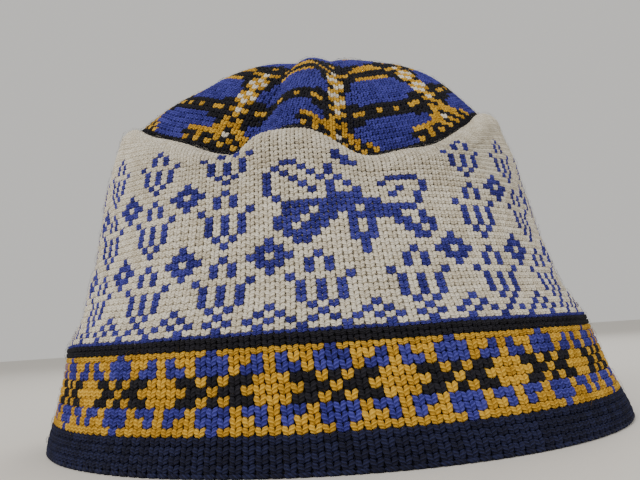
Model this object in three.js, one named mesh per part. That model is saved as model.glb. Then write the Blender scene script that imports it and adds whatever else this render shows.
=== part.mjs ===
import * as THREE from 'three';

// A knitted colourwork hat standing on its rim, in millimetres.
// +Z is up, the front with the dragonfly faces -Y, and z = 0 is the surface it stands on.
// Angles go round from the front: 0 is -Y, 90 is +X, 180 is the back.

// Knitted fabric
const fabricThickness = 3;
const joinGap = 0.3;

// Heights at which one zone ends and the next begins
const hemTop = 10;
const bandTop = 31.5;
const stripeTop = 34.7;

// Crown
const crownHeight = 141.5;
const crownRoundness = 2.6;
const crownSink = 0.6;
const crownShift = 2;

// Fold where the panel turns over towards the crown
const foldHeight = 6.5;
const foldInset = 5.5;

// Outline of the side wall: radius by height, and how far the section sits to the side.
const wallOutline = [
  { height: 0, radius: 105.5, shift: 0 },
  { height: 10, radius: 102.9, shift: -0.4 },
  { height: 21, radius: 99.3, shift: -1.4 },
  { height: 31.5, radius: 96.8, shift: -2.4 },
  { height: 34.7, radius: 96.0, shift: -2.6 },
  { height: 39, radius: 93.8, shift: -2.7 },
  { height: 44, radius: 91.2, shift: -2.8 },
  { height: 50, radius: 89.0, shift: -3.0 },
  { height: 60, radius: 86.2, shift: -3.3 },
  { height: 75, radius: 83.0, shift: -3.8 },
  { height: 95, radius: 79.2, shift: -4.3 },
  { height: 115, radius: 74.2, shift: -4.5 },
];

// Crest, where the panel folds over: its height and the width of the ledge from there in to
// the crown, by angle from the front. At the front the crown has sunk in, so the ledge is wide.
const crestLine = [
  { angle: -180, height: 110, ledge: 1 },
  { angle: -140, height: 112, ledge: 1 },
  { angle: -105, height: 109, ledge: 2 },
  { angle: -80, height: 113, ledge: 1 },
  { angle: -62, height: 111.5, ledge: 1 },
  { angle: -48, height: 104.5, ledge: 2.5 },
  { angle: -32, height: 96.5, ledge: 6 },
  { angle: -18, height: 89.5, ledge: 11 },
  { angle: -11, height: 94, ledge: 9 },
  { angle: -5, height: 95.5, ledge: 8 },
  { angle: 1, height: 94.5, ledge: 8.5 },
  { angle: 11, height: 86.5, ledge: 12 },
  { angle: 21, height: 87.5, ledge: 11 },
  { angle: 33, height: 91, ledge: 8 },
  { angle: 43, height: 97.5, ledge: 4.5 },
  { angle: 54, height: 105, ledge: 2 },
  { angle: 68, height: 111, ledge: 1 },
  { angle: 85, height: 112, ledge: 1 },
  { angle: 110, height: 108.5, ledge: 2 },
  { angle: 145, height: 111.5, ledge: 1 },
  { angle: 180, height: 110, ledge: 1 },
];

// Soft creases that run down the panel from the crest: depth inwards, half width, reach down.
const creases = [
  { angle: -18, depth: 2.6, halfWidth: 6, reach: 22 },
  { angle: 12, depth: 3.0, halfWidth: 6, reach: 26 },
  { angle: 62, depth: 1.4, halfWidth: 9, reach: 30 },
  { angle: -70, depth: 1.4, halfWidth: 9, reach: 30 },
  { angle: 128, depth: 2.2, halfWidth: 9, reach: 28 },
  { angle: -122, depth: 2.2, halfWidth: 9, reach: 28 },
];

// Soft waves in the crown: the wedges stand out a little and their borders sink in.
const crownWedges = 10;
const wedgeMiddle = 27;
const wedgeSwell = 1.0;

// Stations up the wall and over the crown, as shares of each zone
const hemShares = [0, 1];
const bandShares = [0, 0.35, 0.7, 1];
const stripeShares = [0, 1];
const panelShares = [0, 0.07, 0.14, 0.22, 0.34, 0.5, 0.68, 0.86, 1];
const foldStations = 3;
const crownShares = [1, 0.94, 0.84, 0.7, 0.54, 0.37, 0.2, 0];
const stepsAround = 72;

// Stations at which the zones end
const hemEnd = hemShares.length - 1;
const bandEnd = hemEnd + bandShares.length - 1;
const stripeEnd = bandEnd + stripeShares.length - 1;
const panelEnd = stripeEnd + panelShares.length - 1 + foldStations;
const crownEnd = panelEnd + crownShares.length - 1;

// Yarn colours
const navyYarn = 0x14142c;
const goldYarn = 0xc79a38;
const blackYarn = 0x17151d;
const creamYarn = 0xd9d2c4;
const blueYarn = 0x3a47a6;

const degrees = Math.PI / 180;

// Smooth value of one column of a table where another has the value given, level at both ends.
function readTable(table, keyColumn, valueColumn, key) {
  let row = 0;
  while (row < table.length - 2 && key > table[row + 1][keyColumn]) row += 1;
  const slopeAt = (index) => {
    if (index === 0 || index === table.length - 1) return 0;
    const rise = table[index + 1][valueColumn] - table[index - 1][valueColumn];
    return rise / (table[index + 1][keyColumn] - table[index - 1][keyColumn]);
  };
  const start = table[row];
  const end = table[row + 1];
  const span = end[keyColumn] - start[keyColumn];
  const share = (key - start[keyColumn]) / span;
  const late = share * share * (3 - 2 * share);
  const leave = share * (1 - share) * (1 - share) * span;
  const arrive = share * share * (share - 1) * span;
  const level = start[valueColumn] * (1 - late) + end[valueColumn] * late;
  return level + leave * slopeAt(row) + arrive * slopeAt(row + 1);
}

// How far the creases pull the wall in at an angle, a given distance below the crest.
function creaseDepth(angle, below) {
  let depth = 0;
  for (const crease of creases) {
    const turn = Math.abs(((angle - crease.angle + 540) % 360) - 180);
    const across = Math.exp(-((turn / crease.halfWidth) ** 2));
    const along = Math.max(0, 1 - Math.abs(below) / crease.reach);
    depth += crease.depth * across * along * along;
  }
  return depth;
}

// The outside of the fabric at one angle, from the rim up to the top of the crown.
// Each point has a radius, a height and the sideways shift of its section.
function outsideProfile(angle) {
  const crest = readTable(crestLine, 'angle', 'height', angle);
  const wallTop = crest - foldHeight;
  const points = [];
  const addWall = (low, high, shares) => {
    for (const share of shares) {
      const height = low + share * (high - low);
      const radius = readTable(wallOutline, 'height', 'radius', height);
      const shift = readTable(wallOutline, 'height', 'shift', height);
      points.push({ radius: radius - creaseDepth(angle, crest - height), height, shift });
    }
  };
  addWall(0, hemTop, hemShares);
  addWall(hemTop, bandTop, bandShares.slice(1));
  addWall(bandTop, stripeTop, stripeShares.slice(1));
  addWall(stripeTop, wallTop, panelShares.slice(1));

  // Over the fold and in along the ledge to where the crown begins
  const wall = points[points.length - 1];
  const corner = Math.SQRT1_2;
  points.push({
    radius: wall.radius - foldInset * (1 - corner),
    height: wallTop + foldHeight * corner,
    shift: wall.shift,
  });
  points.push({ radius: wall.radius - foldInset, height: crest, shift: wall.shift });
  const ledge = readTable(crestLine, 'angle', 'ledge', angle);
  const footRadius = wall.radius - foldInset - ledge;
  const footHeight = crest - crownSink;
  points.push({ radius: footRadius, height: footHeight, shift: wall.shift });

  // Up over the crown
  const wedge = Math.cos(crownWedges * (angle - wedgeMiddle) * degrees);
  for (const share of crownShares.slice(1)) {
    const swell = wedgeSwell * wedge * share * Math.sin(Math.PI * share);
    const rise = 1 - share ** crownRoundness;
    points.push({
      radius: footRadius * share,
      height: footHeight + (crownHeight - footHeight) * rise + swell,
      shift: wall.shift + (crownShift - wall.shift) * rise,
    });
  }
  return points;
}

// The inside of the fabric: the outside moved in by the thickness, square to the surface.
function insideProfile(outside) {
  return outside.map((point, index) => {
    if (index === 0) return { ...point, radius: point.radius - fabricThickness };
    if (index === outside.length - 1) return { ...point, height: point.height - fabricThickness };
    const before = outside[index - 1];
    const after = outside[index + 1];
    const along = new THREE.Vector2(after.radius - before.radius, after.height - before.height);
    along.normalize();
    return {
      radius: point.radius - fabricThickness * along.y,
      height: point.height + fabricThickness * along.x,
      shift: point.shift,
    };
  });
}

// Moves the first or last point of a stretch along it by half a join gap.
function shortenEnd(stretch, end, next) {
  const from = stretch[end];
  const to = stretch[next];
  const length = Math.hypot(to.radius - from.radius, to.height - from.height);
  const share = joinGap / 2 / length;
  stretch[end] = {
    radius: from.radius + share * (to.radius - from.radius),
    height: from.height + share * (to.height - from.height),
    shift: from.shift + share * (to.shift - from.shift),
  };
}

function placePoint(point, angle) {
  const x = point.shift + point.radius * Math.sin(angle * degrees);
  const y = -point.radius * Math.cos(angle * degrees);
  return [x, y, point.height];
}

// One zone of the fabric between two stations, as a closed wall all the way round.
function makeZone(name, firstStation, lastStation, color) {
  const positions = [];
  const loops = [];
  const closedOnTop = lastStation === crownEnd;
  for (let step = 0; step < stepsAround; step += 1) {
    const angle = (step * 360) / stepsAround - 180;
    const outside = outsideProfile(angle);
    const inside = insideProfile(outside);
    const outer = outside.slice(firstStation, lastStation + 1);
    const inner = inside.slice(firstStation, lastStation + 1);
    for (const stretch of [outer, inner]) {
      const last = stretch.length - 1;
      if (firstStation > 0) shortenEnd(stretch, 0, 1);
      if (!closedOnTop) shortenEnd(stretch, last, last - 1);
    }
    // Up the outside, then back down the inside
    const ring = [...outer, ...inner.reverse()];
    const topIndex = outer.length - 1;
    loops.push(ring.map((point, index) => {
      const onPole = closedOnTop && (index === topIndex || index === topIndex + 1);
      if (onPole && step > 0) return loops[0][index];
      positions.push(...placePoint(point, angle));
      return positions.length / 3 - 1;
    }));
  }

  const triangles = [];
  const addTriangle = (a, b, c) => {
    if (a !== b && b !== c && c !== a) triangles.push(a, b, c);
  };
  loops.forEach((loop, step) => {
    const nextLoop = loops[(step + 1) % stepsAround];
    loop.forEach((corner, index) => {
      const following = (index + 1) % loop.length;
      const overPole = closedOnTop && index === loop.length / 2 - 1;
      if (overPole) return;
      addTriangle(corner, nextLoop[index], nextLoop[following]);
      addTriangle(corner, nextLoop[following], loop[following]);
    });
  });

  const geometry = new THREE.BufferGeometry();
  geometry.setAttribute('position', new THREE.Float32BufferAttribute(positions, 3));
  geometry.setIndex(triangles);
  geometry.computeVertexNormals();
  const yarn = new THREE.MeshStandardMaterial({ color, roughness: 0.95, metalness: 0 });
  const zone = new THREE.Mesh(geometry, yarn);
  zone.name = name;
  return zone;
}

const hat = new THREE.Group();
hat.add(makeZone('hem', 0, hemEnd, navyYarn));
hat.add(makeZone('star_band', hemEnd, bandEnd, goldYarn));
hat.add(makeZone('dark_stripe', bandEnd, stripeEnd, blackYarn));
hat.add(makeZone('flower_panel', stripeEnd, panelEnd, creamYarn));
hat.add(makeZone('crown', panelEnd, crownEnd, blueYarn));

export default hat;
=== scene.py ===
# A knitted colourwork hat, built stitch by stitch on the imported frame.
# Lengths in the tables are millimetres, angles are degrees round from the front,
# 0 is the front (-Y) and 90 is +X. Everything that is made is in metres.
import math

import bmesh
import bpy
import numpy as np
from mathutils import Matrix, Vector


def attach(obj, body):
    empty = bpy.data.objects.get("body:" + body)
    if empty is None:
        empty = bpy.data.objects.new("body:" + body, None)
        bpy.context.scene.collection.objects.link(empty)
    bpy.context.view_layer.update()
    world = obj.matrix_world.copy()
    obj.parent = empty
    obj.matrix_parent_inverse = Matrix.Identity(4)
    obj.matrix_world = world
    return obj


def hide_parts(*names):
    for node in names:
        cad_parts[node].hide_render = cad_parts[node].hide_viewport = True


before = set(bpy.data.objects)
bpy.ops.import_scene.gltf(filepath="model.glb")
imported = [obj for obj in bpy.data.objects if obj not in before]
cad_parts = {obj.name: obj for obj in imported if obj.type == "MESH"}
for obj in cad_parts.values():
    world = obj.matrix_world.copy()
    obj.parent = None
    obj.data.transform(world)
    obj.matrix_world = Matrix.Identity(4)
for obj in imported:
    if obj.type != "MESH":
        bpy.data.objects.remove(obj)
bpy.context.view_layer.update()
scene = bpy.context.scene
millimetre = 0.001

# The hat's form, the same as the solids have
hatForm = {
    "hemTop": 10.0,
    "bandTop": 31.5,
    "stripeTop": 34.7,
    "crownHeight": 141.5,
    "crownRoundness": 2.6,
    "crownSink": 0.6,
    "crownShift": 2.0,
    "foldHeight": 6.5,
    "foldInset": 5.5,
    "wedges": 10,
    "wedgeMiddle": 27.0,
    "wedgeSwell": 1.0,
    "thickness": 3.0,
}

# Side wall: height, radius, and how far the section sits to the side
wallOutline = np.array([
    (0, 105.5, 0), (10, 102.9, -0.4), (21, 99.3, -1.4), (31.5, 96.8, -2.4),
    (34.7, 96.0, -2.6), (39, 93.8, -2.7), (44, 91.2, -2.8), (50, 89.0, -3.0),
    (60, 86.2, -3.3), (75, 83.0, -3.8), (95, 79.2, -4.3), (115, 74.2, -4.5),
], float)

# Crest where the panel folds over: angle, height, width of the ledge in to the crown
crestLine = np.array([
    (-180, 110, 1), (-140, 112, 1), (-105, 109, 2), (-80, 113, 1), (-62, 111.5, 1),
    (-48, 104.5, 2.5), (-32, 96.5, 6), (-18, 89.5, 11), (-11, 94, 9), (-5, 95.5, 8),
    (1, 94.5, 8.5), (11, 86.5, 12), (21, 87.5, 11), (33, 91, 8), (43, 97.5, 4.5),
    (54, 105, 2), (68, 111, 1), (85, 112, 1), (110, 108.5, 2), (145, 111.5, 1),
    (180, 110, 1),
], float)

# Soft creases down from the crest: angle, depth, half width, reach
creases = [
    (-18, 2.6, 6, 22), (12, 3.0, 6, 26), (62, 1.4, 9, 30),
    (-70, 1.4, 9, 30), (128, 2.2, 9, 28), (-122, 2.2, 9, 28),
]

# Points of the outline in each stretch from the rim to the top
outlineSteps = {
    "hem": 8, "band": 18, "stripe": 4, "panel": 69, "fold": 12, "ledge": 6, "crown": 80,
}


def readTable(keys, values, key):
    # smooth value between the rows of a table, level at both ends
    slopes = np.zeros(len(keys))
    slopes[1:-1] = (values[2:] - values[:-2]) / (keys[2:] - keys[:-2])
    row = np.clip(np.searchsorted(keys, key, side="right") - 1, 0, len(keys) - 2)
    span = keys[row + 1] - keys[row]
    share = (key - keys[row]) / span
    late = share * share * (3 - 2 * share)
    leave = share * (1 - share) ** 2 * span * slopes[row]
    arrive = share * share * (share - 1) * span * slopes[row + 1]
    return values[row] * (1 - late) + values[row + 1] * late + leave + arrive


def creaseDepth(angle, below):
    # how far the creases pull the wall in, a given distance below the crest
    depth = np.zeros_like(below)
    for creaseAngle, deepest, halfWidth, reach in creases:
        turn = abs((angle - creaseAngle + 540) % 360 - 180)
        along = np.maximum(0, 1 - np.abs(below) / reach)
        depth += deepest * math.exp(-((turn / halfWidth) ** 2)) * along**2
    return depth


def fabricProfile(angle):
    # outside of the fabric at one angle from the rim to the top, and where its zones end
    form, steps = hatForm, outlineSteps
    crest = float(readTable(crestLine[:, 0], crestLine[:, 1], angle))
    ledge = float(readTable(crestLine[:, 0], crestLine[:, 2], angle))
    wallTop = crest - form["foldHeight"]
    wallEnds = [0, form["hemTop"], form["bandTop"], form["stripeTop"], wallTop]
    wallSteps = [steps["hem"], steps["band"], steps["stripe"], steps["panel"]]
    height = np.concatenate([[0]] + [
        np.linspace(low, high, count + 1)[1:]
        for low, high, count in zip(wallEnds, wallEnds[1:], wallSteps)
    ])
    radius = readTable(wallOutline[:, 0], wallOutline[:, 1], height)
    radius -= creaseDepth(angle, crest - height)
    shift = readTable(wallOutline[:, 0], wallOutline[:, 2], height)

    # over the fold and in along the ledge
    turn = np.radians(np.linspace(0, 90, steps["fold"] + 1)[1:])
    foldRadius = radius[-1] - form["foldInset"] * (1 - np.cos(turn))
    foldHeight = wallTop + form["foldHeight"] * np.sin(turn)
    footRadius = foldRadius[-1] - ledge
    footHeight = crest - form["crownSink"]
    ledgeRadius = np.linspace(foldRadius[-1], footRadius, steps["ledge"] + 1)[1:]
    ledgeHeight = np.linspace(crest, footHeight, steps["ledge"] + 1)[1:]
    ledgeShift = np.full(steps["fold"] + steps["ledge"], shift[-1])

    # up over the crown
    share = np.linspace(1, 0, steps["crown"] + 1)[1:]
    wedge = math.cos(math.radians(form["wedges"] * (angle - form["wedgeMiddle"])))
    swell = form["wedgeSwell"] * wedge * share * np.sin(math.pi * share)
    rise = 1 - share ** form["crownRoundness"]
    crownHeight = footHeight + (form["crownHeight"] - footHeight) * rise + swell
    crownShift = shift[-1] + (form["crownShift"] - shift[-1]) * rise

    radius = np.concatenate([radius, foldRadius, ledgeRadius, footRadius * share])
    height = np.concatenate([height, foldHeight, ledgeHeight, crownHeight])
    shift = np.concatenate([shift, ledgeShift, crownShift])
    along = np.concatenate([[0], np.cumsum(np.hypot(np.diff(radius), np.diff(height)))])
    overFold = steps["panel"] + steps["fold"] + steps["ledge"]
    zoneEnds = np.cumsum([0, *wallSteps[:3], overFold, steps["crown"]])
    return radius, height, shift, along, along[zoneEnds]


# Every zone of the fabric as a lattice: points every half degree, and up the zone
zoneNames = ["hem", "star_band", "dark_stripe", "flower_panel", "crown"]
zoneSteps = {"hem": 12, "star_band": 24, "dark_stripe": 6, "flower_panel": 170, "crown": 150}
latticeStep = 0.5
latticeAngles = np.arange(-180, 180, latticeStep)

# Low waves of a hand-knitted surface, the same every time and closed round the hat
waves = {
    "depth": 0.45,
    # share of the depth, waves round the hat, lean for each millimetre of height, start
    "parts": [(0.45, 9, 0.10, 0), (0.35, 14, -0.16, 1.3), (0.3, 23, 0.23, 4.0), (0.3, 5, 0.37, 0)],
    "fade": 12.0,  # height in which they fade out at the rim and below the top
    "stillAbove": 141.0,
}


def fabricWave(angles, height):
    turn = np.radians(angles)
    wave = sum(share * np.sin(count * turn + lean * height + start)
               for share, count, lean, start in waves["parts"])
    calm = np.clip(height / waves["fade"], 0, 1)
    calm = calm * np.clip((waves["stillAbove"] - height) / waves["fade"], 0, 1)
    return waves["depth"] * wave * calm


def unit(vectors):
    return vectors / np.linalg.norm(vectors, axis=-1, keepdims=True)


def layFabric():
    lattices = {name: {"point": [], "length": []} for name in zoneNames}
    for angle in latticeAngles:
        radius, height, shift, along, ends = fabricProfile(angle)
        turn = math.radians(angle)
        for name, start, end in zip(zoneNames, ends, ends[1:]):
            stations = np.linspace(start, end, zoneSteps[name] + 1)
            r = np.interp(stations, along, radius)
            x = np.interp(stations, along, shift) + r * math.sin(turn)
            z = np.interp(stations, along, height)
            lattices[name]["point"].append(np.stack([x, -r * math.cos(turn), z], axis=1))
            lattices[name]["length"].append(end - start)
    for name, lattice in lattices.items():
        points = np.array(lattice["point"])
        up = np.gradient(points, axis=1)
        across = (np.roll(points, -1, axis=0) - np.roll(points, 1, axis=0)) / 2
        if name == "crown":
            across[:, -1] = across[:, -2]  # every angle meets in one point at the top
        lattice["point"] = points
        lattice["length"] = np.array(lattice["length"])
        lattice["out"] = unit(np.cross(across, up))
        lattice["up"] = unit(up)
        lattice["across"] = np.linalg.norm(across, axis=2) / latticeStep  # for each degree
    for lower, upper in zip(zoneNames, zoneNames[1:]):
        # both sides of an edge between two zones face the same way
        shared = unit(lattices[lower]["out"][:, -1] + lattices[upper]["out"][:, 0])
        lattices[lower]["out"][:, -1] = shared
        lattices[upper]["out"][:, 0] = shared
    for lattice in lattices.values():
        wave = fabricWave(latticeAngles[:, None], lattice["point"][:, :, 2])
        lattice["point"] = lattice["point"] + lattice["out"] * wave[:, :, None]
    return lattices


fabric = layFabric()
print("fabric laid out")


def onFabric(zone, key, angle, share):
    # value of a lattice at any angle and any share of the way up the zone
    values = fabric[zone][key]
    place = (angle + 180) % 360 / latticeStep
    left = np.floor(place).astype(int)
    along = np.clip(share, 0, 1) * zoneSteps[zone]
    low = np.minimum(along.astype(int), zoneSteps[zone] - 1)
    sideways, upwards = place - left, along - low
    left, right = left % len(latticeAngles), (left + 1) % len(latticeAngles)
    if values.ndim == 3:
        sideways, upwards = sideways[:, None], upwards[:, None]
    bottom = values[left, low] * (1 - sideways) + values[right, low] * sideways
    top = values[left, low + 1] * (1 - sideways) + values[right, low + 1] * sideways
    return bottom * (1 - upwards) + top * upwards


def zoneLength(zone, angles):
    # millimetres up the zone at each angle
    return np.interp((angles + 180) % 360, latticeAngles + 180, fabric[zone]["length"], period=360)


# Materials

def linearColor(hexColor):
    # sRGB hex to the linear values that the shader wants
    channels = [int(hexColor[i:i + 2], 16) / 255 for i in (1, 3, 5)]
    return (*[c / 12.92 if c <= 0.04045 else ((c + 0.055) / 1.055) ** 2.4 for c in channels], 1)


def addNode(tree, kind, settings=None, inputs=None):
    # a node with its settings, and its inputs as values or as outputs of other nodes
    node = tree.nodes.new(kind)
    for key, value in (settings or {}).items():
        setattr(node, key, value)
    for key, value in (inputs or {}).items():
        if isinstance(value, bpy.types.NodeSocket):
            tree.links.new(value, node.inputs[key])
        else:
            node.inputs[key].default_value = value
    return node


def calculate(tree, operation, *inputs):
    node = addNode(tree, "ShaderNodeMath", {"operation": operation}, dict(enumerate(inputs)))
    return node.outputs["Value"]


def calculateVector(tree, operation, *inputs):
    node = addNode(tree, "ShaderNodeVectorMath", {"operation": operation}, dict(enumerate(inputs)))
    return node.outputs["Vector"]


def scaleVector(tree, vector, scale):
    node = addNode(tree, "ShaderNodeVectorMath", {"operation": "SCALE"}, {0: vector, "Scale": scale})
    return node.outputs["Vector"]


def addNoise(tree, vector, scale, detail, roughness=0.5):
    return addNode(tree, "ShaderNodeTexNoise", None,
                   {"Vector": vector, "Scale": scale, "Detail": detail, "Roughness": roughness})


def stretch(tree, vector, scale):
    return addNode(tree, "ShaderNodeMapping", None, {"Vector": vector, "Scale": scale}).outputs["Vector"]


def mapRange(tree, value, toMin, toMax):
    node = addNode(tree, "ShaderNodeMapRange", None, {"Value": value, "To Min": toMin, "To Max": toMax})
    return node.outputs["Result"]


def addBump(tree, height, distance, inputs=None):
    node = addNode(tree, "ShaderNodeBump", None,
                   {"Strength": 1.0, "Distance": distance, "Height": height, **(inputs or {})})
    return node.outputs["Normal"]


def emptyMaterial(name):
    material = bpy.data.materials.new(name)
    material.use_nodes = True
    material.node_tree.nodes.clear()
    return material, material.node_tree


def addShader(tree, inputs):
    shader = addNode(tree, "ShaderNodeBsdfPrincipled", None, inputs)
    addNode(tree, "ShaderNodeOutputMaterial", None, {"Surface": shader.outputs["BSDF"]})


# Worsted wool yarn, spun and plied: quite matt, with a soft bright edge from the fibres
# that stand off it, faint slanting plies drawn with painted shade in their grooves and painted light on
# their crowns, and each stitch a touch lighter or darker.
yarns = {
    "navy": {"slot": "navy_yarn", "deep": "#080916", "main": "#11132a", "lit": "#1f2344"},
    "black": {"slot": "black_yarn", "deep": "#08070b", "main": "#121117", "lit": "#201f27"},
    "gold": {"slot": "gold_yarn", "deep": "#76520d", "main": "#bb8b21", "lit": "#dcae3c"},
    "cream": {"slot": "cream_yarn", "deep": "#a99b81", "main": "#d9cfba", "lit": "#efe8d8"},
    "blue": {"slot": "blue_yarn", "deep": "#171548", "main": "#2c2b7c", "lit": "#47479f"},
}
woolLook = {"IOR": 1.5, "Specular IOR Level": 0.25, "Sheen Roughness": 0.45}
fibreNoise = {"scale": 1.0, "detail": 2.0, "roughness": 0.6}
yarnLook = {
    "roughness": (0.78, 0.96),  # between the fibres and on them
    "sheen": 0.2,
    "plyBump": 0.0003,  # metres
    "fibreBump": 0.0001,
    "plyMapping": (4.0, 2.0, 1.0),  # turns of the plies along and round one leg, about 0.7 mm each
    "plies": {"Scale": 0.628, "Distortion": 0.8, "Detail": 1.0},
    "mottle": {"scale": 26.0, "detail": 2.0},  # uneven dye and wear, patches about 40 mm across
    # fibres are about 0.02 mm, too fine to show, so the streaks are drawn about 0.15 mm wide
    "fibreScale": (3.0, 18.0, 1.0),
    "fibreShift": 40.0,  # no two stitches have the same streaks
    # what the stitch, the plies, the slow patches and the fibres add to the tone; the plies' share is
    # painted shade in their grooves and painted light on their crowns
    "stitchTone": (0.13, 0.47),
    "plyGrooveShade": 0.36,
    "patchTone": 0.3,
    "fibreTone": 0.36,
    # tones at which the yarn's three colours stand; the darkest and lightest of them also carry the plies'
    # painted shade and light
    "deepAt": 0.22,
    "mainAt": 0.74,
    "litAt": 1.0,
}


def worstedWool(name, yarn):
    look = yarnLook
    material, tree = emptyMaterial(name)
    place = addNode(tree, "ShaderNodeTexCoord")
    mottle = addNoise(tree, place.outputs["Object"], **look["mottle"])
    plied = stretch(tree, place.outputs["UV"], look["plyMapping"])
    plies = addNode(tree, "ShaderNodeTexWave", {"wave_type": "BANDS", "bands_direction": "DIAGONAL"},
                    {"Vector": plied, **look["plies"]})
    shade = addNode(tree, "ShaderNodeAttribute", {"attribute_name": "shade"}).outputs["Fac"]
    along = stretch(tree, place.outputs["UV"], look["fibreScale"])
    shift = scaleVector(tree, (0, 0, look["fibreShift"]), shade)
    strands = calculateVector(tree, "ADD", along, shift)
    fibres = addNoise(tree, strands, **fibreNoise).outputs["Fac"]
    tone = mapRange(tree, shade, *look["stitchTone"])
    # painted shade between the plies: the tone drops where the ply bump is low, and rises on the crowns as
    # painted light
    tone = calculate(tree, "MULTIPLY_ADD", plies.outputs["Fac"], look["plyGrooveShade"], tone)
    tone = calculate(tree, "MULTIPLY_ADD", mottle.outputs["Fac"], look["patchTone"], tone)
    tone = calculate(tree, "MULTIPLY_ADD", fibres, look["fibreTone"], tone)
    colors = addNode(tree, "ShaderNodeValToRGB", None, {"Fac": tone})
    deep, lit = colors.color_ramp.elements
    deep.position = look["deepAt"]
    deep.color = linearColor(yarn["deep"])
    lit.position = look["litAt"]
    lit.color = linearColor(yarn["lit"])
    colors.color_ramp.elements.new(look["mainAt"]).color = linearColor(yarn["main"])
    relief = addBump(tree, plies.outputs["Fac"], look["plyBump"])
    relief = addBump(tree, fibres, look["fibreBump"], {"Normal": relief})
    addShader(tree, {"Base Color": colors.outputs["Color"], "Normal": relief,
                     "Roughness": mapRange(tree, fibres, *look["roughness"]),
                     "Sheen Weight": look["sheen"], "Sheen Tint": linearColor(yarn["lit"]), **woolLook})
    return material


woolOf = {name: worstedWool(name + "WorstedWool", yarn) for name, yarn in yarns.items()}

# Inside of the same wool: two rows of purl bumps in each round, and the yarn that isn't in use
# carried along between them. The UV map counts stitches and rounds.
purlLook = {
    "roughness": (0.82, 0.98),
    "sheen": 0.12,
    "bump": 0.0008,  # metres
    "sway": {"scale": 0.6, "detail": 1.0},
    "wander": 0.14,  # how far the strands and bumps stray, in stitches
    "arc": 0.1,  # how high each bump arches, in rounds
    "bumpTonesAndGapShade": (0.74, 1.1, 0.42),  # two tones of bumps, and the painted shade in the gap between them
    "gap": 0.21,
    "strandHalf": 0.12,  # half width of a carried strand, in rounds
    "strandEdge": (0.03, 0.02),  # how soft its edge is, inwards and outwards
    "strandRise": 1.3,  # how high it stands, where a bump is 1
    "strandTone": 0.95,
    "fibreScale": (3.0, 16.0, 1.0),  # about 0.15 mm wide, as on the outside
    "fibreTone": (0.6, 1.4),
    "fibreRise": 0.35,
}


def mixColors(tree, share, first, second):
    node = addNode(tree, "ShaderNodeMix", {"data_type": "RGBA"}, {0: share, 6: first, 7: second})
    return node.outputs[2]


def purlSideWool():
    look = purlLook
    material, tree = emptyMaterial("worstedWoolPurlSide")
    counted = addNode(tree, "ShaderNodeTexCoord").outputs["UV"]
    stitchYarn = addNode(tree, "ShaderNodeAttribute", {"attribute_name": "yarn"})
    strandYarn = addNode(tree, "ShaderNodeAttribute", {"attribute_name": "strand"})
    sway = addNoise(tree, counted, **look["sway"]).outputs["Color"]
    sway = calculateVector(tree, "SUBTRACT", sway, (0.5, 0.5, 0.5))
    strayed = calculateVector(tree, "MULTIPLY_ADD", sway, (look["wander"],) * 3, counted)
    # each round waves up and down once in every stitch
    place = addNode(tree, "ShaderNodeSeparateXYZ", None, {"Vector": strayed})
    swing = calculate(tree, "SINE", calculate(tree, "MULTIPLY", place.outputs["X"], 2 * math.pi))
    waved = calculate(tree, "MULTIPLY_ADD", swing, look["arc"], place.outputs["Y"])
    arched = addNode(tree, "ShaderNodeCombineXYZ", None, {"X": place.outputs["X"], "Y": waved})
    # the gap between the bumps is darkened as painted shade, where the bump height is lowest
    first, second, between = [(tone, tone, tone, 1) for tone in look["bumpTonesAndGapShade"]]
    bumps = addNode(tree, "ShaderNodeTexBrick", {"offset": 0.5},
                    {"Vector": arched.outputs["Vector"], "Scale": 1.0, "Color1": first, "Color2": second,
                     "Mortar": between, "Mortar Size": look["gap"], "Mortar Smooth": 1.0,
                     "Brick Width": 1.0, "Row Height": 0.5})
    bumpRise = calculate(tree, "SUBTRACT", 1.0, bumps.outputs["Fac"])
    # the carried strand runs along the middle of the round
    upRound = calculate(tree, "FRACT", waved)
    away = calculate(tree, "ABSOLUTE", calculate(tree, "SUBTRACT", upRound, 0.5))
    inner, outer = look["strandEdge"]
    strand = {"Value": away, "From Max": look["strandHalf"] + outer, "To Max": 0.0}
    rounded = addNode(tree, "ShaderNodeMapRange", {"interpolation_type": "SMOOTHSTEP"},
                      {**strand, "To Min": look["strandRise"]})
    covered = addNode(tree, "ShaderNodeMapRange", {"interpolation_type": "SMOOTHSTEP"},
                      {**strand, "From Min": look["strandHalf"] - inner, "To Min": 1.0})
    carried = calculate(tree, "MULTIPLY", covered.outputs["Result"], strandYarn.outputs["Alpha"])
    strandRise = calculate(tree, "MULTIPLY", rounded.outputs["Result"], strandYarn.outputs["Alpha"])
    height = calculate(tree, "MAXIMUM", bumpRise, strandRise)
    yarnColor = mixColors(tree, carried, stitchYarn.outputs["Color"], strandYarn.outputs["Color"])
    strandTone = (*(look["strandTone"],) * 3, 1)
    tone = mixColors(tree, carried, bumps.outputs["Color"], strandTone)
    shaded = calculateVector(tree, "MULTIPLY", yarnColor, tone)
    fibres = addNoise(tree, stretch(tree, strayed, look["fibreScale"]), **fibreNoise).outputs["Fac"]
    toned = scaleVector(tree, shaded, mapRange(tree, fibres, *look["fibreTone"]))
    height = calculate(tree, "MULTIPLY_ADD", fibres, look["fibreRise"], height)
    addShader(tree, {"Base Color": toned, "Normal": addBump(tree, height, look["bump"]),
                     "Roughness": mapRange(tree, fibres, *look["roughness"]),
                     "Sheen Weight": look["sheen"], **woolLook})
    return material


purlSide = purlSideWool()
print("yarn materials made")

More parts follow.
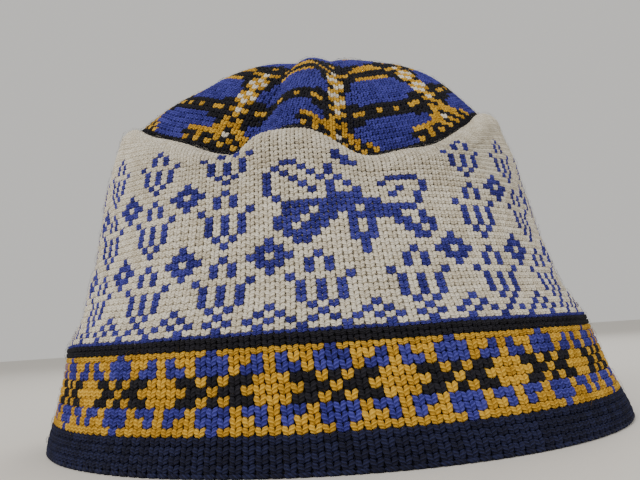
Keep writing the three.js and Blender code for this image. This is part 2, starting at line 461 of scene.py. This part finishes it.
# Stitch shapes, in a box one stitch wide, one round high and one yarn thick. A path runs along
# one leg of yarn: place across, up and out, and how full the yarn is there.
knitStitch = {
    "path": [(0.08, -0.80, -0.44, 0.0), (0.175, -0.33, 0.03, 0.97),
             (0.30, 0.29, 0.06, 1.0), (0.35, 0.82, -0.46, 0.0)],
    "mirrors": (1, -1),  # the two legs of the V, from its foot
    "sides": 6,
    "width": 0.255,
    "thickness": 0.5,
}
castOnLoop = {
    "path": [(-0.72, -0.1, -0.4, 0.0), (-0.3, 0.0, 0.1, 1.0),
             (0.3, 0.06, 0.1, 1.0), (0.72, 0.1, -0.4, 0.0)],
    "mirrors": (1,),
    "sides": 6,
    "width": 0.45,
    "thickness": 0.5,
}
fuzz = {
    "length": 4.0,
    "curl": 1.6,  # how far a stray fibre bends sideways
    "height": 1.1,  # how far it stands off
    "thickness": 0.05,  # drawn about twice as thick as the real ones
    "share": 0.42,  # fibres for each stitch
    "lowest": 3.0,  # height above which they grow
    "lift": 0.15,  # from the wool out to the fibre's middle
    "growth": (0.6, 1.3),  # shortest and longest, as shares of the length
    "unevenness": 0.3,
}
# One stray fibre that stands off the wool, in a box as long as it is
fibreShape = {
    "path": [(-0.5, -0.15, -0.5, 0.0), (-0.22, 0.15, 0.15, 1.0), (0.05, 0.0, 0.4, 1.0),
             (0.3, -0.2, 0.3, 0.8), (0.5, 0.1, -0.05, 0.0)],
    "mirrors": (1,),
    "sides": 3,
    "width": fuzz["thickness"] / 2 / fuzz["curl"],
    "thickness": fuzz["thickness"] / 2 / fuzz["height"],
}


def addObject(name, data):
    thing = bpy.data.objects.new(name, data)
    scene.collection.objects.link(thing)
    return thing


def meshData(name, mesh):
    data = bpy.data.meshes.new(name)
    mesh.to_mesh(data)
    mesh.free()
    return data


def addLeg(mesh, uvLayer, look, mirror):
    # a closed tapering leg of yarn along the path, with a UV map along and round it
    path, sides = look["path"], look["sides"]
    points = [Vector((across * mirror, up, out)) for across, up, out, fullness in path]
    outward = Vector((0, 0, 1))
    sideways = (points[-1] - points[0]).normalized().cross(outward).normalized()
    rings = []
    for point, entry in zip(points[1:-1], path[1:-1]):
        wide, thick = look["width"] * entry[3], look["thickness"] * entry[3]
        ring = []
        for step in range(sides):
            turn = 2 * math.pi * (step + 0.5) / sides
            offset = sideways * (wide * math.cos(turn)) + outward * (thick * math.sin(turn))
            ring.append(mesh.verts.new(point + offset))
        rings.append(ring)
    foot, head = mesh.verts.new(points[0]), mesh.verts.new(points[-1])
    levels = [[foot] * sides, *rings, [head] * sides]
    for step in range(sides):
        following = (step + 1) % sides
        for index, (lower, upper) in enumerate(zip(levels, levels[1:])):
            corners = [(lower[step], index, step), (lower[following], index, step + 1),
                       (upper[following], index + 1, step + 1), (upper[step], index + 1, step)]
            if index == 0:
                del corners[0]
            elif index == len(rings):
                del corners[3]
            face = mesh.faces.new([corner[0] for corner in corners])
            face.smooth = True
            for loop, (vertex, station, around) in zip(face.loops, corners):
                loop[uvLayer].uv = (station / (len(path) - 1), mirror * around / sides)


def stitchShape(name, look):
    mesh = bmesh.new()
    uvLayer = mesh.loops.layers.uv.new("UVMap")
    for mirror in look["mirrors"]:
        addLeg(mesh, uvLayer, look, mirror)
    bmesh.ops.recalc_face_normals(mesh, faces=mesh.faces)
    return addObject(name, meshData(name, mesh))


vStitch = stitchShape("vStitch", knitStitch)
edgeLoop = stitchShape("edgeLoop", castOnLoop)
strayFibre = stitchShape("strayFibre", fibreShape)


stitchChance = {
    "lean": (0.5, 0.5, 1.0),  # most for each direction, times the unevenness
    "growth": (1.0, 1.0, 1.0),
    "growthSeed": 7.0,  # added to the seed of the piece
    "shadeSeed": 19.0,
}


def randomVector(tree, most, seed):
    node = addNode(tree, "FunctionNodeRandomValue", {"data_type": "FLOAT_VECTOR"},
                   {0: [-value for value in most], 1: most, "Seed": seed})
    return node.outputs[0]


def stitchTree():
    # puts a stitch on every point, turned to the fabric, a little uneven, as one mesh
    tree = bpy.data.node_groups.new("knitStitches", "GeometryNodeTree")
    sockets = {"Points": "NodeSocketGeometry", "Stitch shape": "NodeSocketObject",
               "Unevenness": "NodeSocketFloat", "Seed": "NodeSocketInt", "Yarn": "NodeSocketMaterial"}
    for name, kind in sockets.items():
        tree.interface.new_socket(name, in_out="INPUT", socket_type=kind)
    tree.interface.new_socket("Stitches", in_out="OUTPUT", socket_type="NodeSocketGeometry")
    given = addNode(tree, "NodeGroupInput").outputs
    outward, upward, size = [
        addNode(tree, "GeometryNodeInputNamedAttribute", {"data_type": "FLOAT_VECTOR"},
                {"Name": name}).outputs["Attribute"] for name in ("outward", "upward", "size")]
    facing = addNode(tree, "FunctionNodeAxesToRotation", {"primary_axis": "Z", "secondary_axis": "Y"},
                     {"Primary Axis": outward, "Secondary Axis": upward})
    # each stitch leans and grows a little of its own accord
    lean = randomVector(tree, stitchChance["lean"], given["Seed"])
    lean = scaleVector(tree, lean, given["Unevenness"])
    leanTurn = addNode(tree, "FunctionNodeEulerToRotation", None, {"Euler": lean})
    turned = addNode(tree, "FunctionNodeRotateRotation", {"rotation_space": "LOCAL"},
                     {"Rotation": facing.outputs["Rotation"], "Rotate By": leanTurn.outputs["Rotation"]})
    growthSeed = calculate(tree, "ADD", given["Seed"], stitchChance["growthSeed"])
    grow = randomVector(tree, stitchChance["growth"], growthSeed)
    grow = calculateVector(tree, "ADD", scaleVector(tree, grow, given["Unevenness"]), (1.0, 1.0, 1.0))
    grown = calculateVector(tree, "MULTIPLY", grow, size)
    shape = addNode(tree, "GeometryNodeObjectInfo", None, {"Object": given["Stitch shape"]})
    placed = addNode(tree, "GeometryNodeInstanceOnPoints", None,
                     {"Points": given["Points"], "Instance": shape.outputs["Geometry"],
                      "Rotation": turned.outputs["Rotation"], "Scale": grown})
    shadeSeed = calculate(tree, "ADD", given["Seed"], stitchChance["shadeSeed"])
    shade = addNode(tree, "FunctionNodeRandomValue", {"data_type": "FLOAT"},
                    {2: 0.0, 3: 1.0, "Seed": shadeSeed})
    shaded = addNode(tree, "GeometryNodeStoreNamedAttribute", {"data_type": "FLOAT", "domain": "INSTANCE"},
                     {"Geometry": placed.outputs["Instances"], "Name": "shade", "Value": shade.outputs[1]})
    whole = addNode(tree, "GeometryNodeRealizeInstances", None, {"Geometry": shaded.outputs["Geometry"]})
    dyed = addNode(tree, "GeometryNodeSetMaterial", None,
                   {"Geometry": whole.outputs["Geometry"], "Material": given["Yarn"]})
    addNode(tree, "NodeGroupOutput", None, {"Stitches": dyed.outputs["Geometry"]})
    return tree


knit = {
    "yarnThickness": 1.35,
    "depth": 0.72,  # from the outside of the fabric in to the middle of the yarn
    "unevenness": 0.05,
    "rimStitches": 190,
    "panelStitches": 200,
    "bandPhase": -9.1,  # angle of one star's middle
}
knitTree = stitchTree()


def knitPiece(name, stitches, yarn, shape, seed, unevenness=knit["unevenness"]):
    # stitches: list of (points, up, out, size) arrays in millimetres
    points, up, out, size = (np.concatenate(part) for part in zip(*stitches))
    data = bpy.data.meshes.new(name)
    data.vertices.add(len(points))
    data.vertices.foreach_set("co", (points * millimetre).astype(np.float32).ravel())
    for key, values in (("upward", up), ("outward", out), ("size", size * millimetre)):
        attribute = data.attributes.new(key, "FLOAT_VECTOR", "POINT")
        attribute.data.foreach_set("vector", values.astype(np.float32).ravel())
    cloud = addObject(name + "Points", data)
    modifier = cloud.modifiers.new("knit", "NODES")
    modifier.node_group = knitTree
    inputs = {"Stitch shape": shape, "Unevenness": unevenness, "Seed": seed, "Yarn": woolOf[yarn]}
    for item in knitTree.interface.items_tree:
        if item.in_out == "INPUT" and item.name in inputs:
            modifier[item.identifier] = inputs[item.name]
    graph = bpy.context.evaluated_depsgraph_get()
    mesh = bpy.data.meshes.new_from_object(cloud.evaluated_get(graph), preserve_all_data_layers=True,
                                           depsgraph=graph)
    mesh.name = name
    bpy.data.objects.remove(cloud)
    piece = addObject(name, mesh)
    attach(piece, "root")
    print(name, len(points), "stitches,", sum(len(f.vertices) - 2 for f in mesh.polygons), "triangles")
    return piece


stitchRows = {}  # the stitches of each piece, round by round
insideRounds = {zone: [] for zone in zoneNames}  # the same rounds for the purl side
letters = {"n": "navy", "k": "black", "y": "gold", "c": "cream", "b": "blue"}


def stitchRow(zone, angles, shares, tall, thick, depth):
    # where the stitches of one round sit, how they face, and their size
    out = unit(onFabric(zone, "out", angles, shares))
    up = unit(onFabric(zone, "up", angles, shares))
    wide = onFabric(zone, "across", angles, shares) * 360 / len(angles)
    size = np.stack([wide, np.broadcast_to(tall, wide.shape), np.full_like(wide, thick)], axis=1)
    return onFabric(zone, "point", angles, shares) - out * depth, up, out, size


def noteRound(zone, angles, low, high, yarnLetters):
    # a round's lower and upper edge, as shares of the zone, and its yarns, for the purl side
    low, high = np.broadcast_to(low, angles.shape), np.broadcast_to(high, angles.shape)
    insideRounds[zone].append((angles, low, high, np.broadcast_to(yarnLetters, angles.shape)))


def knitRound(zone, angles, low, high, yarnLetters, pieces, depth=knit["depth"]):
    # one round between two edges; pieces says which of its stitches each piece gets
    shares = np.broadcast_to((low + high) / 2, angles.shape)
    tall = (high - low) * zoneLength(zone, angles)
    row = stitchRow(zone, angles, shares, tall, knit["yarnThickness"], depth)
    for name, chosen in pieces.items():
        if chosen.any():
            stitchRows.setdefault(name, []).append(tuple(part[chosen] for part in row))
    noteRound(zone, angles, low, high, yarnLetters)


def byYarn(start, yarnLetters):
    # the stitches of each yarn, for pieces whose names end in the yarn
    return {start + yarn.capitalize(): yarnLetters == letter for letter, yarn in letters.items()}


# Hem: plain navy rounds above a cast-on edge
hem = {
    "rounds": 4,
    "edge": 1.3,  # height of the cast-on edge
    "edgeYarn": 1.5,  # height and thickness of its loops
}
rimAngles = knit["bandPhase"] + np.arange(knit["rimStitches"]) * 360 / knit["rimStitches"]
hemLength = fabric["hem"]["length"][0]
noteRound("hem", rimAngles, 0, hem["edge"] / hemLength, "n")
hemEdges = np.linspace(hem["edge"] / hemLength, 1, hem["rounds"] + 1)
allNavy = np.full(knit["rimStitches"], "n")
for low, high in zip(hemEdges, hemEdges[1:]):
    knitRound("hem", rimAngles, low, high, allNavy, byYarn("hem", allNavy))
edgeMiddle = hem["edgeYarn"] / 2
castOn = stitchRow("hem", rimAngles, np.full(knit["rimStitches"], edgeMiddle / hemLength),
                   hem["edgeYarn"], hem["edgeYarn"], edgeMiddle)

# Star band, one repeat of ten stitches, the top round first: y gold, b blue, k black
starChart = [
    "yyyyybyyyy",
    "ybyybbbyyb",
    "ybbybbbybb",
    "yykkykykky",
    "yyykkykkyy",
    "yykkykykky",
    "ybbybbbybb",
    "ybyybbbyyb",
    "yyyyybyyyy",
]
# Its first and last rounds are drawn in by the plain rounds beside them
band = {"firstRound": 0.85, "lastRound": 0.65}
bandHeights = np.ones(len(starChart))
bandHeights[0], bandHeights[-1] = band["firstRound"], band["lastRound"]
bandEdges = np.concatenate([[0], np.cumsum(bandHeights)]) / bandHeights.sum()
for line, low, high in zip(reversed(starChart), bandEdges, bandEdges[1:]):
    yarnLetters = np.array([line[column % len(line)] for column in range(knit["rimStitches"])])
    knitRound("star_band", rimAngles, low, high, yarnLetters, byYarn("band", yarnLetters))

# Dark stripe: two plain black rounds, standing out a little
stripe = {"rounds": 2, "out": 0.1}
stripeEdges = np.linspace(0, 1, stripe["rounds"] + 1)
allBlack = np.full(knit["rimStitches"], "k")
for low, high in zip(stripeEdges, stripeEdges[1:]):
    knitRound("dark_stripe", rimAngles, low, high, allBlack, byYarn("stripe", allBlack),
              knit["depth"] - stripe["out"])

# Flower panel motifs, the top round first: b blue on cream
tulipChart = [
    "...b...",
    "..b.b..",
    "..b.b..",
    "b.....b",
    ".b.b.b.",
    ".b.b.b.",
    ".b.b.b.",
    "..b.b..",
    "...b...",
]
rosetteChart = [
    "..b..",
    ".bbb.",
    "bb.bb",
    ".bbb.",
    "..b..",
]
peakChart = [
    "..b..",
    ".b.b.",
]
# Dragonfly, from ten stitches left of its body to eight right of it
dragonflyChart = [
    "........b..........",
    "........bb.........",
    "..bb.....bb........",
    ".b..b..b...........",
    "b.b..b.b...........",
    "b..b..b.b.....bbbb.",
    "b...b..b.b...b....b",
    "b....b.b..b....b..b",
    ".b.....bbbb...b..b.",
    "..bbbbbbbbbbb....b.",
    "..bbb.bbbb.bbbbbb..",
    ".bbb.bbb.bbbbbb..b.",
    ".bb.bbb..b.b..bb.bb",
    "..bbbb...b.b...bb.b",
    "...bb....bbb....bb.",
    "..........b........",
    "..........b........",
]
panel = {
    "rounds": 40,
    "footRounds": [1.0, 2.0, 1.9],  # the first rounds above the stripe lie closer
    "round": 2.15,
    "evenRounds": 18,  # up to the dragonfly's body the rounds are even
    "tulips": 20,
    "tiers": [3, 13, 23],  # lowest round of each tier of tulips
    "rosetteTiers": [9, 19],
    "dragonflyColumn": 5,
    "dragonflyRound": 11,
    "frontHalf": 90.5,  # where the cream divides into a front and a back piece
}


def panelChart():
    # which yarn every stitch of the panel has: rows from the stripe up, columns from the front
    chart = np.full((panel["rounds"], knit["panelStitches"]), "c")
    columns = np.arange(knit["panelStitches"])
    # a blue round and two rounds of checks at the foot
    chart[0] = "b"
    chart[1] = np.where(columns % 4 == 2, "b", "c")
    chart[2] = np.where(columns % 2 == 1, "b", "c")

    def draw(motif, column, lowest):
        for index, line in enumerate(reversed(motif)):
            if lowest + index >= panel["rounds"]:
                continue
            for place, letter in enumerate(line, column - len(line) // 2):
                if letter != ".":
                    chart[lowest + index, place % knit["panelStitches"]] = letter

    repeat = knit["panelStitches"] // panel["tulips"]
    for tulip in range(panel["tulips"]):
        middle = tulip * repeat
        between = middle + repeat // 2
        # the dragonfly takes the place of the upper tulips and rosettes nearest to it
        for tier, lowest in enumerate(panel["tiers"]):
            if tier == 0 or tulip not in (0, 1):
                draw(tulipChart, middle, lowest)
        for tier, lowest in enumerate(panel["rosetteTiers"]):
            if tulip != 0 and (tier == 0 or tulip not in (1, 19)):
                draw(rosetteChart, between, lowest)
        draw(peakChart, between, panel["tiers"][0])
    draw(dragonflyChart, panel["dragonflyColumn"] - 1, panel["dragonflyRound"])
    return chart


evenHeights = [panel["round"]] * (panel["rounds"] - len(panel["footRounds"]))
panelEdges = np.cumsum([0, *panel["footRounds"], *evenHeights])


def panelShare(edge, lengths):
    # above the even rounds they crowd a little where the crest is low, and open where it is high
    late = np.clip((edge - panel["evenRounds"]) / (panel["rounds"] - panel["evenRounds"]), 0, 1)
    return (panelEdges[edge] + (lengths - panelEdges[-1]) * late * late * (2 - late)) / lengths


panelAngles = np.arange(knit["panelStitches"]) * 360 / knit["panelStitches"]
panelLengths = zoneLength("flower_panel", panelAngles)
front = np.abs((panelAngles + 180) % 360 - 180) < panel["frontHalf"]
for index, yarnLetters in enumerate(panelChart()):
    low, high = panelShare(index, panelLengths), panelShare(index + 1, panelLengths)
    isCream = yarnLetters == "c"
    pieces = {"panelBlue": ~isCream, "panelCreamFront": isCream & front, "panelCreamBack": isCream & ~front}
    knitRound("flower_panel", panelAngles, low, high, yarnLetters, pieces)

# Crown: ten wedges, two blue ovals in each, checks along the borders
crown = {
    "rounds": 38,
    "stitchesAtFoot": 20,  # for each wedge
    "fullness": 1.04,
    "decreaseEarly": 0.3,  # in stitches
    "border": 9.0,  # angle of one border between wedges
    "blackRounds": 2,  # at the foot: narrow at the sides, stretched where the ledge is wide
    "footLength": 1.8,
    "footStretch": 0.26,  # for each millimetre of ledge
    "frontBulge": 2.8,
    "bulgeAngle": -4,
    "bulgeWidth": 10,
    "footChecksTop": 9,  # up to this round the checks widen into a foot, with a gold edge
}
# each round from the foot up, from the wedge's middle out: what is left of the wedge is checks
crownChart = [
    "kkkkkkkkkkk", "kkkkkkkkkkk", "bbbb", "bbbbb", "bbbbbb", "bbbbbbb", "bbbbbbbk",
    "bbbbbkkk", "kkkkkkkk", "kykkyyk", "kkkkkkk", "bbbbbkk", "bbbbbb", "bbbbbb",
    "bbbbbb", "bbbbbk", "bbbbk", "yyykk", "kkkkkk", "kkkkyy", "yyykkk", "yykkkk",
    "bkkkk", "bbbkk", "bbbbk", "bbbbb", "bbbbb", "ybbbb", "bbbb", "bbbb", "bybb", "bbb",
    "bbb", "bbb", "bb", "bb", "b", "b",
]
rightFoot = {3: "bbbkkkykky", 4: "bbbyyyyyy"}  # a level gold line closes the right half's checks
footChecks = ["ckykyk", "kykyky", "ykykyk", "kykyky"]  # from the border of a wedge inwards
borderChecks = ["yckyky", "cykyky", "ykcyky", "cykyky"]  # the same above the lower oval


def crownYarn(index, place, count):
    # place: stitches from one border to the next, 0 is on the border
    fromBorder = min(place, count - place)
    fromMiddle = int(abs(place - count / 2))
    line = crownChart[index]
    if place > count / 2:
        line = rightFoot.get(index, line)
    if fromMiddle < len(line):
        return line[fromMiddle]
    if fromMiddle == len(line) and crown["blackRounds"] <= index <= crown["footChecksTop"]:
        return "y"
    checks = footChecks if index < crown["footChecksTop"] else borderChecks
    return checks[index % len(checks)][fromBorder]


def crownShare(edge, angles, lengths):
    bulge = crown["frontBulge"] * np.exp(-(((angles - crown["bulgeAngle"]) / crown["bulgeWidth"]) ** 2))
    ledge = readTable(crestLine[:, 0], crestLine[:, 2], angles)
    foot = crown["footLength"] + crown["footStretch"] * ledge + bulge
    black, rest = crown["blackRounds"], crown["rounds"] - crown["blackRounds"]
    above = max(edge - black, 0) / rest
    return (foot * min(edge, black) / black + (lengths - foot) * above) / lengths


crownSizes = np.linalg.norm(fabric["crown"]["point"][:, :, :2] - [hatForm["crownShift"], 0], axis=2)
crownSizes = crownSizes.mean(axis=0)
for index in range(crown["rounds"]):
    # a round has as many stitches in each wedge as its girth needs
    share = (index + 0.5) / crown["rounds"]
    girth = np.interp(share, np.linspace(0, 1, len(crownSizes)), crownSizes) / crownSizes[0]
    needed = crown["stitchesAtFoot"] * girth * crown["fullness"] - crown["decreaseEarly"]
    count = int(np.clip(math.ceil(needed), 1, crown["stitchesAtFoot"]))
    places = np.arange(count * hatForm["wedges"])
    angles = crown["border"] + places * 360 / len(places)
    angles = (angles + 180) % 360 - 180
    lengths = zoneLength("crown", angles)
    low, high = crownShare(index, angles, lengths), crownShare(index + 1, angles, lengths)
    yarnLetters = np.array([crownYarn(index, place % count, count) for place in places])
    knitRound("crown", angles, low, high, yarnLetters, byYarn("crown", yarnLetters))
print("charts read")

pieceYarn = {
    "hemNavy": "navy", "bandGold": "gold", "bandBlue": "blue", "bandBlack": "black",
    "stripeBlack": "black", "panelBlue": "blue", "panelCreamFront": "cream",
    "panelCreamBack": "cream", "crownGold": "gold", "crownBlue": "blue",
    "crownBlack": "black", "crownCream": "cream",
}
seeds = {"stitches": 3, "castOn": 40, "fibres": 50, "strayPlaces": 11}
for seed, (name, yarn) in enumerate(pieceYarn.items(), seeds["stitches"]):
    knitPiece(name, stitchRows[name], yarn, vStitch, seed)
knitPiece("castOnEdge", [castOn], "navy", edgeLoop, seeds["castOn"])

# Stray fibres over the wool, the same each time
chance = np.random.default_rng(seeds["strayPlaces"])
for seed, yarn in enumerate(yarns, seeds["fibres"]):
    rows = [row for name in pieceYarn if pieceYarn[name] == yarn for row in stitchRows[name]]
    points, up, out, size = (np.concatenate(part) for part in zip(*rows))
    kept = (chance.random(len(points)) < fuzz["share"]) & (points[:, 2] > fuzz["lowest"])
    points, up, out = points[kept], up[kept], out[kept]
    turn = chance.uniform(0, 2 * math.pi, len(points))[:, None]
    lie = up * np.cos(turn) + np.cross(up, out) * np.sin(turn)
    points = points + out * (knit["depth"] + fuzz["lift"])
    points = points + up * chance.uniform(-1, 1, len(points))[:, None]
    grow = chance.uniform(*fuzz["growth"], len(points))
    curl = np.full(len(points), fuzz["curl"])
    size = np.stack([fuzz["length"] * grow, curl, fuzz["height"] * grow], axis=1)
    knitPiece(yarn + "Fuzz", [(points, lie, out, size)], yarn, strayFibre, seed, fuzz["unevenness"])
for shape in (vStitch, edgeLoop, strayFibre):
    bpy.data.objects.remove(shape)

# The fabric behind the stitches, down to the purl side on the inside
backing = {
    "outsideDepth": 1.05,
    "rimGap": 0.25,  # only the cast-on loops touch what the hat stands on
    # what shows between the stitches of each zone: its own yarn, and black behind the star band, where the
    # dark yarn is painted shade in the gaps between the gold stitches
    "yarn": {"hem": "n", "star_band": "k", "dark_stripe": "k", "flower_panel": "c", "crown": "b"},
}


def strandLetters(yarnLetters):
    # the yarn that is carried behind each stitch, or none in a round of one yarn
    used = [letter for letter in "bkycn" if letter in yarnLetters]
    if len(used) == 1:
        return [None] * len(yarnLetters)
    return [used[1] if letter == used[0] else used[0] for letter in yarnLetters]


def wallRows(mesh, zone, angles, levels, depth):
    # corners of one side of the wall, from its lowest edge up
    rows = []
    for index, level in enumerate(levels):
        out = unit(onFabric(zone, "out", angles, level))
        points = onFabric(zone, "point", angles, level)
        if zone == "hem" and index == 0:
            out[:, 2] = 0
            points[:, 2] = backing["rimGap"]
        points -= out * depth
        if zone == "crown" and index == len(levels) - 1:
            rows.append([mesh.verts.new(points.mean(axis=0) * millimetre)] * len(angles))
        else:
            rows.append([mesh.verts.new(point * millimetre) for point in points])
    return rows


def addWallFace(mesh, layers, corners, letter, strand=None):
    # corners: vertex, and where it is counted in stitches and rounds
    kept = [corner for place, corner in enumerate(corners) if corner[0] is not corners[place - 1][0]]
    face = mesh.faces.new([corner[0] for corner in kept])
    face.smooth = True
    uvLayer, yarnLayer, strandLayer = layers
    stitchColor = linearColor(yarns[letters[letter]]["main"])
    strandColor = linearColor(yarns[letters[strand or letter]]["main"])[:3]
    for loop, corner in zip(face.loops, kept):
        loop[uvLayer].uv = corner[1:]
        loop[yarnLayer] = stitchColor
        loop[strandLayer] = (*strandColor, 1.0 if strand else 0.0)


def backingWall(zone):
    rounds = insideRounds[zone]
    around = len(rounds[0][0])
    step = 360 / around
    angles = rounds[0][0][0] + (np.arange(around) - 0.5) * step
    levels = [np.interp(angles, places, low, period=360) for places, low, high, yarnLetters in rounds]
    levels.append(np.ones(around))
    mesh = bmesh.new()
    layers = (mesh.loops.layers.uv.new("UVMap"), mesh.loops.layers.float_color.new("yarn"),
              mesh.loops.layers.float_color.new("strand"))
    outside = wallRows(mesh, zone, angles, levels, backing["outsideDepth"])
    inside = wallRows(mesh, zone, angles, levels, hatForm["thickness"])
    # the outside of the wall takes the zone's gap colour; on the star band that black is painted shade
    # between the stitches
    plain = backing["yarn"][zone]
    for index, (places, low, high, yarnLetters) in enumerate(rounds):
        count = len(places)
        carried = strandLetters(yarnLetters)
        for column in range(around):
            beside = (column + 1) % around
            stitch = int(round((angles[column] + step / 2 - places[0]) * count / 360)) % count
            left = (angles[column] - places[0]) * count / 360 + 0.5
            right = left + count / around
            for wall in (outside, inside):
                lower, upper = wall[index], wall[index + 1]
                corners = [(lower[column], left, index), (lower[beside], right, index),
                           (upper[beside], right, index + 1), (upper[column], left, index + 1)]
                if wall is outside:
                    addWallFace(mesh, layers, corners, plain)
                else:
                    addWallFace(mesh, layers, corners[::-1], yarnLetters[stitch], carried[stitch])
    # the narrow faces at the zone's lower and upper edge
    ends = [(0, -1)] if zone == "crown" else [(0, -1), (len(rounds), 1)]
    for index, turn in ends:
        outer, inner = outside[index], inside[index]
        for column in range(around):
            beside = (column + 1) % around
            corners = [(outer[column], column, 0), (outer[beside], column + 1, 0),
                       (inner[beside], column + 1, 1), (inner[column], column, 1)]
            addWallFace(mesh, layers, corners[::turn], plain)
    data = meshData(zone + "Backing", mesh)
    data.materials.append(purlSide)
    piece = addObject(zone + "Backing", data)
    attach(piece, "root")
    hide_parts(zone)
    return piece


for zone in zoneNames:
    backingWall(zone)
print("fabric behind the stitches made")

# Floor, camera and lights, in metres
studio = {
    "floorColor": "#d9d5ce",
    "floorRadius": 6.0,
    "floorSegments": 96,
    "floorGrain": {"scale": 60.0, "detail": 3.0},
    "floorRoughness": (0.75, 0.85),
    "cameraPlace": (-0.0025, -0.274, 0.033),
    "cameraPitch": 8.0,
    "cameraRoll": 3.8,
    "focalLength": 38.6,
    "sensorWidth": 36,
    "clipStart": 0.01,
    "skyColor": "#e4e2de",
    "skyStrength": 0.85,
}
lights = {
    "keyLight": {"place": (-0.5, -0.75, 0.75), "target": (0, 0, 0.07), "size": 0.5,
                 "power": 8.0, "color": (1.0, 0.97, 0.93)},
    "fillLight": {"place": (0.85, -0.6, 0.35), "target": (0, 0, 0.07), "size": 0.8,
                  "power": 2.0, "color": (0.95, 0.97, 1.0)},
    "backLight": {"place": (0.2, 0.8, 0.8), "target": (0, 0, 0.09), "size": 0.6,
                  "power": 4.0, "color": (1.0, 1.0, 1.0)},
}


def makeFloor():
    mesh = bmesh.new()
    bmesh.ops.create_circle(mesh, cap_ends=True, radius=studio["floorRadius"],
                            segments=studio["floorSegments"])
    data = meshData("floor", mesh)
    # matt painted board, with a very faint unevenness
    paint, tree = emptyMaterial("mattPaintedBoard")
    place = addNode(tree, "ShaderNodeTexCoord")
    grain = addNoise(tree, place.outputs["Object"], **studio["floorGrain"])
    addShader(tree, {"Base Color": linearColor(studio["floorColor"]),
                     "Roughness": mapRange(tree, grain.outputs["Fac"], *studio["floorRoughness"])})
    data.materials.append(paint)
    floor = addObject("floor", data)


def makeCamera():
    data = bpy.data.cameras.new("camera")
    data.lens = studio["focalLength"]
    data.sensor_width = studio["sensorWidth"]
    data.clip_start = studio["clipStart"]
    camera = addObject("camera", data)
    pitch, roll = math.radians(studio["cameraPitch"]), math.radians(studio["cameraRoll"])
    ahead = Vector((0, math.cos(pitch), math.sin(pitch)))
    levelRight = Vector((1, 0, 0))
    levelUp = Vector((0, -math.sin(pitch), math.cos(pitch)))
    right = levelRight * math.cos(roll) - levelUp * math.sin(roll)
    up = levelRight * math.sin(roll) + levelUp * math.cos(roll)
    turn = Matrix((right, up, -ahead)).transposed().to_4x4()
    camera.matrix_world = Matrix.Translation(studio["cameraPlace"]) @ turn
    scene.camera = camera


def addLight(name, look):
    data = bpy.data.lights.new(name, "AREA")
    data.shape = "DISK"
    data.size = look["size"]
    data.energy = look["power"]
    data.color = look["color"]
    light = addObject(name, data)
    light.location = look["place"]
    light.rotation_mode = "QUATERNION"
    toTarget = Vector(look["target"]) - Vector(look["place"])
    light.rotation_quaternion = toTarget.to_track_quat("-Z", "Y")


makeFloor()
makeCamera()
for name, look in lights.items():
    addLight(name, look)
world = bpy.data.worlds.new("softStudio")
scene.world = world
world.use_nodes = True
world.node_tree.nodes.clear()
sky = addNode(world.node_tree, "ShaderNodeBackground", None,
              {"Color": linearColor(studio["skyColor"]), "Strength": studio["skyStrength"]})
addNode(world.node_tree, "ShaderNodeOutputWorld", None, {"Surface": sky.outputs["Background"]})
print("floor, camera and lights placed")
